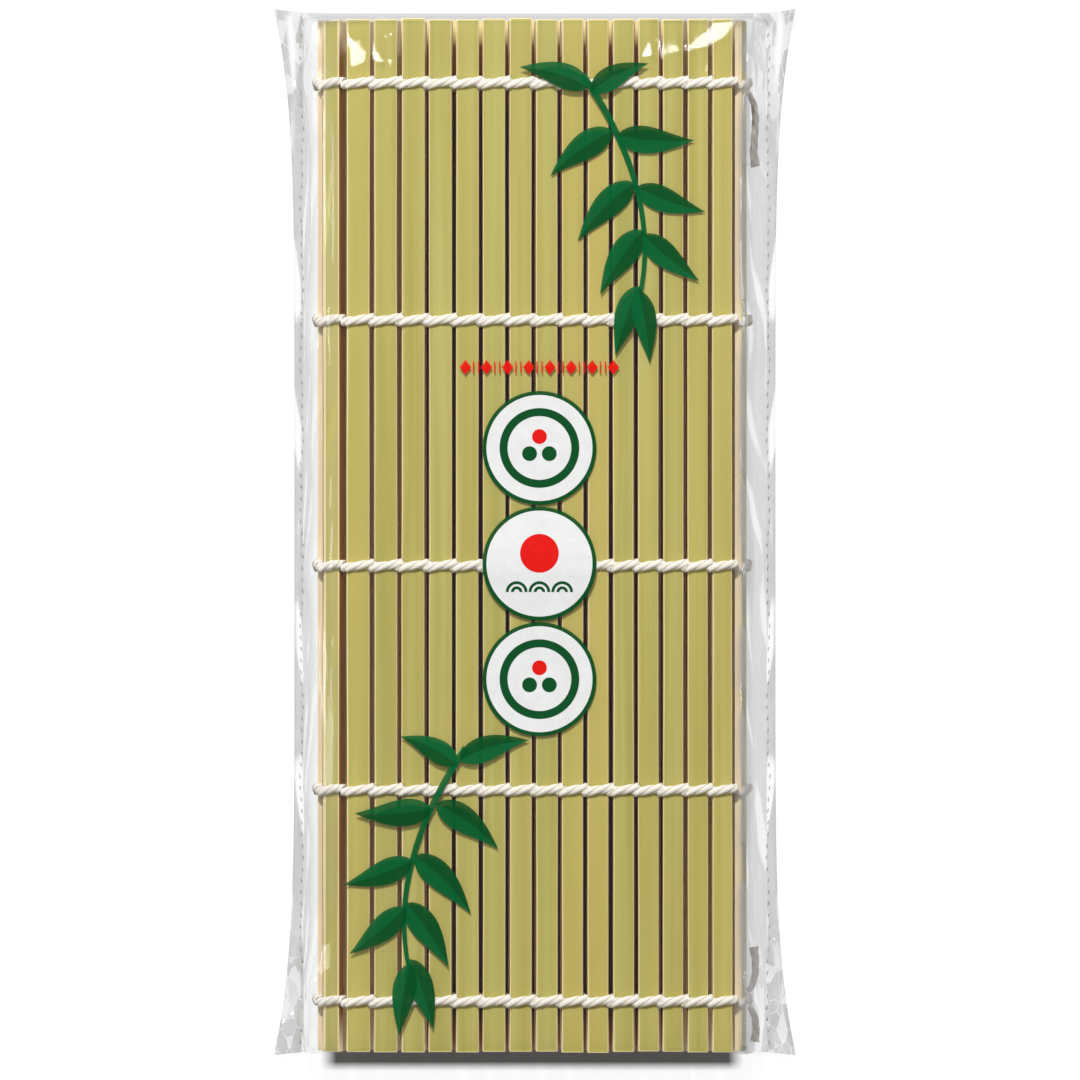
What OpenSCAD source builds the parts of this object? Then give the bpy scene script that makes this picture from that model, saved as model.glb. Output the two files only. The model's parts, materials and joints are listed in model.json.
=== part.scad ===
// A sushi rolling mat of flat bamboo slats, folded into a flat pack inside a clear film bag.
// +Z is up and the slats run along Y. The origin is under the middle of the bag, on the table.
// The mat is a chain of slats in the XZ plane. Every fold turns about a line along Y in the plane of
// the pale faces. Each stretch of the mat is drawn in its own frame: x runs along the chain from its
// fold, z = 0 is the pale face and z = slat_t the green one.

/* [Slats] */
// Length of each slat
slat_len = 240; // [150:1:330]
// Width of each slat
slat_w = 5.2; // [4:0.1:8]
// Thickness of each slat
slat_t = 1.6; // [1.2:0.1:2.4]
// Open gap between neighbouring slats
slat_gap = 0.83; // [0.8:0.01:1.4]
// Chamfer along the edges of each green face
slat_bevel = 0.28; // [0.1:0.01:0.5]
// How far the middle of the front panel strays from even spacing
front_sway = 1.7; // [0:0.1:2]

/* [Folds] */
// Number of slats in the back panel
back_count = 16; // [10:1:24]
// Number of slats in the front panel
front_count = 15; // [10:1:20]
// Number of slats in the flap folded inside
flap_count = 6; // [3:1:9]
// Turn of the fold between the back panel and the left edge
edge_fold = 90; // [80:1:95]
// Turn of the fold between the left edge and the shoulder
shoulder_fold = 51; // [45:1:60]
// Turn of the fold between the front panel and the right edge
right_fold = 75; // [70:1:80]

/* [Cords] */
// Diameter of the twined cord
cord_d = 2.2; // [1.6:0.1:2.3]
// Slant of each stitch across its slat
stitch_slant = 13; // [5:1:20]
// Distance of the top cord row from the upper ends of the slats
top_margin = 15; // [8:1:30]
// Distance of the bottom cord row from the lower ends of the slats
bottom_margin = 12; // [8:1:30]
// Drop of each cord row below even spacing, top row first
row_drops = [0, 1.75, 5.5, 4.25, 0]; // [0:0.25:8]
// Radius of the knot that ends each cord row
knot_r = 1.5; // [1.2:0.1:1.5]
// Diameter of the loose tails beyond the outer knots
tail_d = 1.8; // [1.2:0.1:1.9]

/* [Bag] */
// Thickness of the bag's film
film_t = 0.15; // [0.1:0.01:0.2]
// Room between the film and the cords
film_gap = 0.3; // [0.25:0.05:1]
// Length of the bag
bag_len = 244; // [244:1:340]
// Distance of the mat's middle below the bag's middle
mat_drop = 0.8; // [0:0.1:1.5]
// Slack of the film beside the left edge
left_slack = 2; // [0:0.1:8]
// Slack of the film beside the right edge, where the tails lie
right_slack = 3; // [2.8:0.1:8]
// Width of the sealed fins halfway along the bag
fin_w = 2.1; // [1:0.1:6]
// Extra width of the fins at the bag's corners
fin_flare = 4.8; // [0:0.1:12]
// Width of the seal across the top of the bag
seal_w = 1.5; // [1:0.1:1.8]

/* [Hidden] */
$fn = 48;
pitch = slat_w + slat_gap;
cord_r = cord_d / 2;
// The clearance of a stitch's end from a fold, and of one soft solid from the next
fold_gap = 0.06;
// How far neighbouring stitches run into each other at a gap
stitch_lap = 0.2;
// The clearance of the web of cord in a gap from the slats
web_gap = 0.12;
// The core of cord on each fold line, which turns between the two slats with this clearance
core_gap = 0.09;
fold_core_r = slat_gap / 2 - core_gap;
// The web's width across the cord, and how far it runs into the stitches
web_trim = 0.1;
web_len = cord_d - 2 * web_trim;
web_rise = 0.3;
// The clearance of a knot from the edge of its slat's pitch
knot_gap = 0.1;

bamboo_colour = [0.75, 0.71, 0.42];
cord_colour = [0.97, 0.95, 0.88];
film_colour = [0.85, 0.88, 0.88, 0.4];

// Headings of the chain's stretches, in degrees above +X
edge_heading = 180 - edge_fold;
shoulder_heading = edge_heading - shoulder_fold;
right_heading = -right_fold;
front_fold = shoulder_heading;
flap_fold = 180 - right_fold;

// What stands on a pale face: the slat, its stitches, the room and the film
film_reach = slat_t + cord_r + film_gap + film_t;
front_len = front_count * pitch;
chain_span = pitch * (cos(edge_heading) + cos(shoulder_heading) + cos(right_heading)) + front_len;
bag_half = (chain_span + 2 * film_reach + left_slack + right_slack) / 2;

// The fold lines, as [x, z]
back_hinge = [film_reach + left_slack - bag_half, film_reach];
edge_hinge = back_hinge + pitch * [cos(edge_heading), sin(edge_heading)];
front_hinge = edge_hinge + pitch * [cos(shoulder_heading), sin(shoulder_heading)];
right_hinge = front_hinge + [front_len, 0];
flap_hinge = right_hinge + pitch * [cos(right_heading), sin(right_heading)];

// Places of the gaps' middles along each panel, from its fold
front_edges = [for (k = [0:front_count]) k * pitch + front_sway * sin(180 * k / front_count)];
flap_edges = [for (k = [0:flap_count]) k * pitch];
back_edges = [for (k = [0:back_count]) -k * pitch];
single_edges = [0, pitch];

// Heights of the cord rows along Y, top row first
row_span = slat_len - top_margin - bottom_margin;
row_ys = [for (r = [0:4]) slat_len / 2 - top_margin - row_span * r / 4 - row_drops[r]];

// Numbers of the slats at the folds, counted from the mat's inner end
right_slat = flap_count + 1;
front_last = right_slat + front_count;
shoulder_slat = front_last + 1;
edge_slat = shoulder_slat + 1;
slat_count = edge_slat + back_count;

function slat_name(i) = str("slat_", i < 10 ? "0" : "", i);

// Draws a stretch of the mat in its own frame, from its fold line and its heading
module stretch_at(hinge, heading) {
    translate([hinge[0], -mat_drop, hinge[1]]) rotate([0, -heading, 0]) children();
}

// One flat slat between two gap middles, chamfered along its green face
module slat_bar(a, b) {
    low = min(a, b) + slat_gap / 2;
    high = max(a, b) - slat_gap / 2;
    outline = [
        [low, 0], [high, 0], [high, slat_t - slat_bevel], [high - slat_bevel, slat_t],
        [low + slat_bevel, slat_t], [low, slat_t - slat_bevel]
    ];
    color(bamboo_colour)
        rotate([90, 0, 0]) linear_extrude(slat_len, center = true) polygon(outline);
}

module flap_slat(i) {
    k = flap_count - i;
    stretch_at(flap_hinge, 180) slat_bar(flap_edges[k], flap_edges[k + 1]);
}

module right_edge_slat() {
    stretch_at(right_hinge, right_heading) slat_bar(0, pitch);
}

module front_slat(i) {
    k = front_last - i;
    stretch_at(front_hinge, 0) slat_bar(front_edges[k], front_edges[k + 1]);
}

module shoulder_slat_bar() {
    stretch_at(edge_hinge, shoulder_heading) slat_bar(0, pitch);
}

module left_edge_slat() {
    stretch_at(back_hinge, edge_heading) slat_bar(0, pitch);
}

module back_slat(i) {
    k = i - edge_slat - 1;
    stretch_at(back_hinge, 180) slat_bar(back_edges[k], back_edges[k + 1]);
}

module slat(i) {
    if (i <= flap_count) flap_slat(i);
    else if (i == right_slat) right_edge_slat();
    else if (i <= front_last) front_slat(i);
    else if (i == shoulder_slat) shoulder_slat_bar();
    else if (i == edge_slat) left_edge_slat();
    else back_slat(i);
}

// Half a cord lying flat on z = 0 from x = a + cut_a to x = b - cut_b, slanting by the given angle
module stitch(a, b, cut_a, cut_b, slant) {
    middle = (a + cut_a + b - cut_b) / 2;
    run = (b - a - cut_a - cut_b) / cos(slant);
    translate([middle, tan(slant) * (middle - (a + b) / 2), 0])
        rotate([0, 0, slant]) rotate([90, 0, 90]) translate([0, 0, -run / 2])
        rotate_extrude(angle = 180) square([cord_r, run]);
}

// How far a stitch on the pale side keeps from a fold of the given turn
function pale_cut(turn) = fold_gap + cord_r * (tan(turn / 2) + sin(stitch_slant));
// And one on the green side, which the fold opens
green_cut = fold_gap + cord_r * sin(stitch_slant);

// The two stitches over one slat. A cut says how far each keeps from a fold; the green cut comes first.
module stitch_pair(a, b, cuts_a, cuts_b) {
    translate([0, 0, slat_t]) stitch(a, b, cuts_a[0], cuts_b[0], stitch_slant);
    mirror([0, 0, 1]) stitch(a, b, cuts_a[1], cuts_b[1], -stitch_slant);
}

// The cord passing through the gap at x, which joins both sides' stitches
module web(x) {
    web_w = slat_gap - 2 * web_gap;
    translate([x - web_w / 2, -web_len / 2, -web_rise]) cube([web_w, web_len, slat_t + 2 * web_rise]);
}

// The core of cord on a fold line, which is the stretch's own pivot
module fold_core(x) {
    translate([x, 0, 0]) rotate([90, 0, 0]) cylinder(h = web_len, r = fold_core_r, center = true);
}

// One cord row over a panel, whose near and far cuts are pairs for the green and the pale side
module cord_row(row, edges, near_cuts, far_cuts) {
    last = len(edges) - 1;
    lap = [-stitch_lap, -stitch_lap];
    rising = edges[last] > edges[0];
    color(cord_colour) translate([0, row_ys[row], 0]) {
        for (k = [0:last - 1]) {
            near = k == 0 ? near_cuts : lap;
            far = k == last - 1 ? far_cuts : lap;
            if (rising) stitch_pair(edges[k], edges[k + 1], near, far);
            else stitch_pair(edges[k + 1], edges[k], far, near);
        }
        if (last > 1) for (k = [1:last - 1]) web(edges[k]);
    }
}

module fold_cores(x) {
    color(cord_colour) for (r = [0:4]) translate([0, row_ys[r], 0]) fold_core(x);
}

no_cut = [0, 0];
function fold_cut(turn) = [green_cut, pale_cut(turn)];

module front_cord(row) {
    stretch_at(front_hinge, 0) {
        cord_row(row, front_edges, fold_cut(front_fold), fold_cut(right_fold));
        color(cord_colour) translate([0, row_ys[row], 0]) fold_core(0);
    }
}

module back_cord(row) {
    stretch_at(back_hinge, 180) cord_row(row, back_edges, fold_cut(edge_fold), no_cut);
}

module flap_cords() {
    stretch_at(flap_hinge, 180) {
        for (r = [0:4]) cord_row(r, flap_edges, fold_cut(flap_fold), no_cut);
        fold_cores(0);
    }
}

module right_edge_cords() {
    stretch_at(right_hinge, right_heading) {
        for (r = [0:4]) cord_row(r, single_edges, fold_cut(right_fold), fold_cut(flap_fold));
        fold_cores(0);
    }
}

module left_shoulder_cords() {
    stretch_at(edge_hinge, shoulder_heading) {
        for (r = [0:4]) cord_row(r, single_edges, fold_cut(shoulder_fold), fold_cut(front_fold));
        fold_cores(0);
    }
}

module left_edge_cords() {
    stretch_at(back_hinge, edge_heading) {
        for (r = [0:4]) cord_row(r, single_edges, fold_cut(edge_fold), fold_cut(shoulder_fold));
        fold_cores(0);
    }
}

// A loose tail from a knot, as a tube with one ring of sides at each point of its route along Y
tail_sides = 8;
module tail(route) {
    rings = len(route);
    points = [
        for (p = route) for (s = [0:tail_sides - 1])
            p + tail_d / 2 * [cos(360 * s / tail_sides), 0, sin(360 * s / tail_sides)]
    ];
    function at(ring, side) = ring * tail_sides + side % tail_sides;
    sides = [
        for (k = [0:rings - 2]) for (s = [0:tail_sides - 1])
            each [[at(k, s), at(k, s + 1), at(k + 1, s)], [at(k, s + 1), at(k + 1, s + 1), at(k + 1, s)]]
    ];
    near_end = [for (s = [1:tail_sides - 2]) [at(0, 0), at(0, s + 1), at(0, s)]];
    far_end = [for (s = [1:tail_sides - 2]) [at(rings - 1, 0), at(rings - 1, s), at(rings - 1, s + 1)]];
    polyhedron(points, concat(sides, near_end, far_end));
}

// The tails' routes from the middles of their knots, as [x, y, z], upwards along the slats
upper_tail = [[0.5, 1.7, 0], [1.4, 3.5, -0.2], [2.2, 7, -0.5], [1.9, 13, -0.7], [2.3, 19, -0.8]];
lower_tail_up = [[0.5, 1.7, -0.1], [1.7, 4, -0.3], [2.2, 8, -0.7], [1.8, 12, -0.8]];
lower_tail_down = [[0.6, 1.7, 0], [1.9, 4, -0.1], [2.3, 7, -0.6], [2, 10, -0.8]];

module outer_knots() {
    x = back_hinge[0] + back_count * pitch + knot_gap + knot_r;
    z = back_hinge[1] - slat_t / 2;
    color(cord_colour) translate([x, -mat_drop, z]) {
        for (y = row_ys) translate([0, y, 0]) sphere(knot_r);
        translate([0, row_ys[0], 0]) mirror([0, 1, 0]) tail(upper_tail);
        translate([0, row_ys[4], 0]) tail(lower_tail_up);
        translate([0, row_ys[4], 0]) mirror([0, 1, 0]) tail(lower_tail_down);
    }
}

module inner_knots() {
    color(cord_colour) stretch_at(flap_hinge, 180)
        for (y = row_ys) translate([flap_count * pitch + knot_gap + knot_r, y, slat_t / 2]) sphere(knot_r);
}

// The corner of a line that keeps a distance outside two stretches of the mat, where they meet
function corner(hinge, h1, h2, away) =
    let (n1 = [-sin(h1), cos(h1)], n2 = [-sin(h2), cos(h2)])
    hinge + away * (n1 + n2) / (1 + n1 * n2);

// The front film's section, from its left foot over the mat to its right foot
function film_arch(inset) =
    let (away = film_reach - inset) [
        [inset - bag_half, film_t],
        corner(edge_hinge, edge_heading, shoulder_heading, away),
        corner(front_hinge, shoulder_heading, 0, away),
        corner(right_hinge, 0, right_heading, away),
        corner(flap_hinge, right_heading, right_heading, away),
        [bag_half - inset, film_t]
    ];

function reversed(list) = [for (k = [len(list) - 1:-1:0]) list[k]];

// Half width of the bag at a height along it, widest at the corners
function fin_edge(y) = bag_half + fin_w + fin_flare * pow(abs(2 * y / bag_len), 6);
fin_steps = 24;
fin_line = [for (k = [0:fin_steps]) let (y = bag_len * (k / fin_steps - 0.5)) [fin_edge(y), y]];

module fin() {
    outline = concat(fin_line, [[bag_half - film_t, bag_len / 2], [bag_half - film_t, -bag_len / 2]]);
    translate([0, 0, film_t]) linear_extrude(film_t) polygon(outline);
}

module bag_front_film() {
    wall_y = bag_len / 2 - seal_w;
    color(film_colour) {
        translate([0, wall_y, 0]) rotate([90, 0, 0]) linear_extrude(wall_y + bag_len / 2)
            polygon(concat(film_arch(0), reversed(film_arch(film_t))));
        translate([0, wall_y, 0]) rotate([90, 0, 0]) linear_extrude(film_t) polygon(film_arch(0));
        translate([-bag_half, wall_y - film_t, film_t]) cube([2 * bag_half, seal_w + film_t, film_t]);
        fin();
        mirror([1, 0, 0]) fin();
    }
}

module bag_back_film() {
    outline = concat(fin_line, [for (p = reversed(fin_line)) [-p[0], p[1]]]);
    color(film_colour) linear_extrude(film_t) polygon(outline);
}

for (i = [1:slat_count]) slat(i);
for (r = [1:5]) front_cord(r - 1);
for (r = [1:5]) back_cord(r - 1);
flap_cords();
right_edge_cords();
left_shoulder_cords();
left_edge_cords();
outer_knots();
inner_knots();
bag_front_film();
bag_back_film();
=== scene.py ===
"""A sushi rolling mat of flat bamboo slats, folded into a flat pack in a clear printed film bag."""

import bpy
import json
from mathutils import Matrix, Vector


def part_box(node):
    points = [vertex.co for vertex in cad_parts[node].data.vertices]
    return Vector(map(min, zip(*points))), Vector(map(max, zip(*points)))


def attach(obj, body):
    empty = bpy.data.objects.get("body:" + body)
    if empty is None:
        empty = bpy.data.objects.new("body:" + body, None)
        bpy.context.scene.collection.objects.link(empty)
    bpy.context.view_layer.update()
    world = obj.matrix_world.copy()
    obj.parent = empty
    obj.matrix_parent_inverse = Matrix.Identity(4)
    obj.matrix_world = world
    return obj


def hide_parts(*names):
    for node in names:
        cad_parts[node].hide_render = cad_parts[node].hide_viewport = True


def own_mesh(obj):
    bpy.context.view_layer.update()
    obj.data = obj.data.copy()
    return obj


bl_info = {
    "name": "Sushi rolling mat",
    "version": (1, 0, 0),
    "blender": (4, 5, 0),
    "location": "3D View > Sidebar > Rolling mat",
    "description": "Makes the slats, twined cords, knots, film bag and print of a packed rolling mat",
    "category": "Add Mesh",
}

import json
import math

import bmesh
import bpy
import numpy as np
from mathutils import Vector

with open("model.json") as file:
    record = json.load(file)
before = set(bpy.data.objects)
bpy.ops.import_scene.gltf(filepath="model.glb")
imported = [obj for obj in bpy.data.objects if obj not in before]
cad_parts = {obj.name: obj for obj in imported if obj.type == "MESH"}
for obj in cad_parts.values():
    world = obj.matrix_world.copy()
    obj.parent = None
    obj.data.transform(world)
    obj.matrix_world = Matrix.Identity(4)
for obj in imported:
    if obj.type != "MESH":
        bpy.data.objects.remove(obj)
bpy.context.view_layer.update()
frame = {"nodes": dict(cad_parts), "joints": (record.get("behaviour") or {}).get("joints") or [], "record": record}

MM = 0.001
ROW_COUNT = 5
JOINTS = {joint["name"]: joint for joint in frame["joints"]}
BODIES = frame["record"]["behaviour"]["bodies"]


def fold_line(joint):
    """The fold's line in the XZ plane."""
    x, _, z = JOINTS[joint]["pos_m"]
    return np.array([x, z])


def fold_turn(joint):
    """How far the fold is turned at rest, in degrees."""
    return JOINTS[joint]["range_deg"][1]


EDGE_HEADING = 180 - fold_turn("left_edge_fold")
SHOULDER_HEADING = EDGE_HEADING - fold_turn("left_shoulder_fold")
RIGHT_HEADING = -fold_turn("right_edge_fold")
# Each stretch of the mat that folds as one: its fold line and its heading above +X
STRETCHES = {
    "back_panel": (fold_line("left_edge_fold"), 180),
    "left_edge": (fold_line("left_edge_fold"), EDGE_HEADING),
    "left_shoulder": (fold_line("left_shoulder_fold"), SHOULDER_HEADING),
    "front_panel": (fold_line("front_fold"), 0),
    "right_edge": (fold_line("right_edge_fold"), RIGHT_HEADING),
    "inner_flap": (fold_line("flap_fold"), 180),
}
# Which end of a stretch is the mat's own, where the cords are knotted: its first or its last
FREE_ENDS = {"back_panel": 0, "inner_flap": -1}
SINGLE_SLATS = ("left_edge", "left_shoulder", "right_edge")
# The steep slats show a pale side to the front
PALE_SIDED = ("left_edge", "right_edge")

FRONT_LOW, FRONT_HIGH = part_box("slat_08")
SLAT_T = FRONT_HIGH.z - FRONT_LOW.z
SLAT_LEN = FRONT_HIGH.y - FRONT_LOW.y
MAT_Y = (FRONT_HIGH.y + FRONT_LOW.y) / 2
GREEN_Z = FRONT_HIGH.z
FLAP_LOW, FLAP_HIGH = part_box("slat_06")
SLAT_W = FLAP_HIGH.x - FLAP_LOW.x
HALF_GAP = STRETCHES["inner_flap"][0][0] - FLAP_HIGH.x
SLAT_COUNT = sum(name.startswith("slat_") for name in frame["nodes"])


def row_height(row):
    """The cord row's place along Y, from its CAD node."""
    low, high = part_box(f"front_cord_{row + 1}")
    return (low.y + high.y) / 2


ROWS = np.array([row_height(row) for row in range(ROW_COUNT)])
CORD_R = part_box("front_cord_1")[1].z - GREEN_Z
FILM_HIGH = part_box("bag_front_film")[1]
SHEET_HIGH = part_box("bag_back_film")[1]
FILM_T = SHEET_HIGH.z
BAG_END = SHEET_HIGH.y
# How far the front film stands over the mat's fold lines and over its green faces
FILM_REACH = FILM_HIGH.z - fold_line("front_fold")[1]
FILM_OVER = FILM_HIGH.z - GREEN_Z


def node_points(node):
    """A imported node's points."""
    mesh = frame["nodes"][node].data
    points = np.empty(len(mesh.vertices) * 3, np.float32)
    mesh.vertices.foreach_get("co", points)
    return points.reshape(-1, 3).astype(float)


def fin_middle():
    """Half the width of the back sheet halfway along the bag."""
    points = node_points("bag_back_film")
    return float(abs(points[np.abs(points[:, 1]).argmin(), 0]))


FIN_MIDDLE = fin_middle()


def seam_place():
    """Half the width between the side welds: the front film's widest point inside its fins."""
    x = np.abs(node_points("bag_front_film")[:, 0])
    return float(x[x < FIN_MIDDLE - 0.5 * MM].max())


SEAM_X = seam_place()


# Mesh code

# Points closer than this are one
DOUBLES = 1e-7


def run_length(points):
    """How far along a line each of its points is."""
    return np.concatenate([[0], np.cumsum(np.linalg.norm(np.diff(points, axis=0), axis=1))])


def directions(points):
    """The unit direction of a line at each of its points."""
    step = np.gradient(points, axis=0)
    return step / np.linalg.norm(step, axis=1, keepdims=True)


def smooth_line(points, count):
    """A line along the points at even steps: each coordinate is the cubic of the length along them that fits
    best."""
    s = run_length(points)
    fine = np.linspace(0, s[-1], count)
    return np.stack([np.polyval(np.polyfit(s, column, 3), fine) for column in points.T], axis=-1)


def grid_faces(rows, cols, wrap):
    """Faces of a grid of rows x cols points: each joins point (i, j) to its next in both directions.

    A wrapped grid joins its last column to its first.
    """
    across = cols if wrap else cols - 1
    i, j = np.meshgrid(np.arange(rows - 1), np.arange(across), indexing="ij")
    here, below = i * cols, (i + 1) * cols
    right = (j + 1) % cols
    return np.stack([here + j, here + right, below + right, below + j], axis=-1).reshape(-1, 4)


class Shape:
    """Points, four-sided faces, UVs and named point values, gathered from several grids."""

    def __init__(self):
        self.points = []
        self.faces = []
        self.values = {}
        self.uvs = []
        self.count = 0

    def grid(self, points, uv, values, wrap=False, capped=False):
        """Adds a grid of points. wrap closes its rows to rings, and capped shuts both of its ends."""
        rows, cols = points.shape[:2]
        if capped:
            ends = [points[:1].mean(axis=1, keepdims=True), points[-1:].mean(axis=1, keepdims=True)]
            points = np.concatenate([np.repeat(ends[0], cols, 1), points, np.repeat(ends[1], cols, 1)])
            uv = np.concatenate([uv[:1], uv, uv[-1:]])
            full = {key: np.broadcast_to(value, (rows, cols)) for key, value in values.items()}
            values = {key: np.concatenate([value[:1], value, value[-1:]]) for key, value in full.items()}
            rows += 2
        self.points.append(points.reshape(-1, 3))
        self.uvs.append(uv.reshape(-1, 2))
        self.faces.append(grid_faces(rows, cols, wrap) + self.count)
        for key, value in values.items():
            self.values.setdefault(key, []).append(np.broadcast_to(value, (rows, cols)).reshape(-1))
        self.count += rows * cols
        return self

    def build(self, name, material, smooth=True, closed=False):
        """Makes the object. A closed one has its doubles merged and its faces turned outwards."""
        points = np.concatenate(self.points)
        faces = np.concatenate(self.faces)
        mesh = bpy.data.meshes.new(name)
        mesh.from_pydata(points, [], faces.tolist())
        uv = np.concatenate(self.uvs)
        layer = mesh.uv_layers.new(name="UVMap")
        corner_points = np.empty(len(mesh.loops), np.int32)
        mesh.loops.foreach_get("vertex_index", corner_points)
        layer.data.foreach_set("uv", uv[corner_points].astype(np.float32).ravel())
        for key, value in self.values.items():
            attribute = mesh.attributes.new(key, "FLOAT", "POINT")
            attribute.data.foreach_set("value", np.concatenate(value).astype(np.float32))
        mesh.polygons.foreach_set("use_smooth", np.full(len(mesh.polygons), smooth))
        mesh.materials.append(material)
        mesh.update()
        obj = bpy.data.objects.new(name, mesh)
        bpy.context.scene.collection.objects.link(obj)
        if closed:
            merge_and_turn_out(obj)
        return obj


def merge_and_turn_out(obj):
    """Merges doubled points and recalculates the normals outwards."""
    work = bmesh.new()
    work.from_mesh(obj.data)
    bmesh.ops.remove_doubles(work, verts=work.verts, dist=DOUBLES)
    bmesh.ops.recalc_face_normals(work, faces=work.faces)
    work.to_mesh(obj.data)
    work.free()


def placed(body, u, y, w):
    """World points of a stretch's own u along the chain, y along the slats and w above the pale face.

    x = hinge x + u cos(heading) - w sin(heading), z = hinge z + u sin(heading) + w cos(heading).
    """
    hinge, heading = STRETCHES[body]
    turn = math.radians(heading)
    x = hinge[0] + u * math.cos(turn) - w * math.sin(turn)
    z = hinge[1] + u * math.sin(turn) + w * math.cos(turn)
    return np.stack(np.broadcast_arrays(x, y, z), axis=-1)


def slat_span(body, node):
    """A slat's lowest and highest u in its stretch."""
    if body in SINGLE_SLATS:
        return HALF_GAP, HALF_GAP + SLAT_W
    hinge, heading = STRETCHES[body]
    low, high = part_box(node)
    side = math.cos(math.radians(heading))
    return tuple(sorted(((low.x - hinge[0]) * side, (high.x - hinge[0]) * side)))


def slats_of(body):
    """The stretch's slats in the order of u."""
    return sorted((n for n in BODIES[body] if n.startswith("slat_")), key=lambda n: slat_span(body, n))


def gap_middles(body):
    """The places along u of the fold, of each gap's middle and of the stretch's end."""
    spans = [slat_span(body, node) for node in slats_of(body)]
    middles = [(a[1] + b[0]) / 2 for a, b in zip(spans, spans[1:])]
    return [spans[0][0] - HALF_GAP] + middles + [spans[-1][1] + HALF_GAP]


def finish(obj, body, slot, *nodes):
    """Hangs a finished piece on its body and puts it in its CAD nodes' place; slot is not used."""
    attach(obj, body)
    if nodes:
        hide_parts(*nodes)


# Materials

class NodeTree:
    """The nodes of a material or of the world, with short ways to add and join them."""

    def __init__(self, tree):
        self.nodes = tree.nodes
        self.links = tree.links

    def join(self, value, socket):
        """Links an output to an input, or sets a plain number, vector or colour on it."""
        if isinstance(value, bpy.types.NodeSocket):
            self.links.new(value, socket)
        else:
            socket.default_value = (*value, 1) if socket.type == "RGBA" else value

    def node(self, kind, inputs, **settings):
        """Adds a node, with its settings and with its inputs by name or number."""
        node = self.nodes.new("ShaderNode" + kind)
        for name, value in settings.items():
            setattr(node, name, value)
        for key, value in inputs.items():
            self.join(value, node.inputs[key])
        return node

    def mix(self, factor, low, high):
        """A mix of two colours."""
        node = self.node("Mix", {"Factor": factor}, data_type="RGBA")
        for key, value in (("A", low), ("B", high)):
            self.join(value, next(s for s in node.inputs if s.name == key and s.type == "RGBA"))
        return next(s for s in node.outputs if s.type == "RGBA")

    def mix_shaders(self, factor, first, second):
        """The first shader where the factor is 0 and the second where it is 1."""
        return self.node("MixShader", {0: factor, 1: first, 2: second}).outputs[0]

    def ramp(self, value, low, high, at_low=0, at_high=1):
        """A straight ramp of a value between two limits, held beyond them."""
        inputs = {"Value": value, "From Min": low, "From Max": high, "To Min": at_low, "To Max": at_high}
        return self.node("MapRange", inputs).outputs["Result"]

    def worked_out(self, operation, *terms):
        """A sum, product or the like of sockets or plain numbers, kept between 0 and 1."""
        return self.node("Math", dict(enumerate(terms)), operation=operation, use_clamp=True).outputs[0]

    def noise(self, place, stretch, detail=2, rough=0.5):
        """Noise with so many waves per metre in each direction."""
        mapping = self.node("Mapping", {"Vector": place, "Scale": stretch})
        inputs = {"Vector": mapping.outputs["Vector"], "Scale": 1, "Detail": detail, "Roughness": rough}
        return self.node("TexNoise", inputs).outputs["Fac"]

    def point_value(self, name):
        """A value that the mesh holds at its points."""
        return self.node("Attribute", {}, attribute_name=name).outputs["Fac"]

    def object_place(self):
        """The place in the object's own space, in metres."""
        return self.node("TexCoord", {}).outputs["Object"]

    def uv_place(self):
        """The place on the surface, in metres along and round the piece."""
        return self.node("UVMap", {}, uv_map="UVMap").outputs["UV"]


class Finish(NodeTree):
    """A new material and its Principled shader."""

    def __init__(self, name):
        self.material = bpy.data.materials.new(name)
        self.material.use_nodes = True
        super().__init__(self.material.node_tree)
        self.shader = self.nodes["Principled BSDF"]

    def surface(self, colour, roughness, specular, alpha=1):
        """Sets or links the shader's own sockets."""
        values = {"Base Color": colour, "Roughness": roughness, "Specular IOR Level": specular}
        for key, value in {**values, "Alpha": alpha}.items():
            self.join(value, self.shader.inputs[key])

    def bump(self, height, strength, distance):
        """Roughens the Principled shader's normal by a height."""
        node = self.node("Bump", {"Height": height, "Strength": strength, "Distance": distance})
        self.links.new(node.outputs["Normal"], self.shader.inputs["Normal"])

    def show(self, shader):
        """Gives the material another shader than its Principled one."""
        self.links.new(shader, self.nodes["Material Output"].inputs["Surface"])


def bamboo_material(mat):
    """Green skin streaked along the fibres, cream chamfers, cut sides dark with painted shade, and a pale back.

    skin is 1 on the green face, cream is 1 on the chamfers and ends, side is 1 on the cut sides and the
    chamfers' outer lips, which take a painted shade, the end-light value rises to 1 at both ends of a slat, where
    painted light lightens that shade, and tone says how yellow the slat is.
    """
    look = Finish("bamboo_slat")
    place = look.uv_place()
    skin, tone, cream, side, tip = (look.point_value(key) for key in ("skin", "tone", "cream", "side", "tip"))
    fibre = look.noise(place, (2600, 14, 1), 4, 0.6)
    broad = look.noise(place, (430, 7, 1))
    cloud = look.noise(place, (90, 11, 1))
    green = look.mix(look.ramp(broad, 0.32, 0.72), mat.green_deep, mat.green_light)
    toned = look.mix(look.ramp(tone, 0, 1, 0, 0.6), green, mat.green_aged)
    patched = look.mix(look.ramp(cloud, 0.5, 0.75, 0, 0.4), toned, mat.green_aged)
    streaked = look.mix(look.ramp(fibre, 0.3, 0.75, 0, 0.45), patched, mat.green_light)
    flesh = look.mix(look.ramp(fibre, 0.35, 0.7), mat.flesh_shade, mat.flesh)
    # Painted shade: cut sides and chamfer lips are dark brown for the shade between the slats, lighter at the ends
    sided = look.mix(side, flesh, look.mix(tip, mat.cut_side_painted_shade, mat.flesh))
    edged = look.mix(cream, sided, mat.cream)
    look.surface(look.mix(skin, edged, streaked), look.ramp(skin, 0, 1, 0.7, 0.45), 0.16)
    look.bump(fibre, 0.25, 0.1 * MM)
    return look.material


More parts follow.
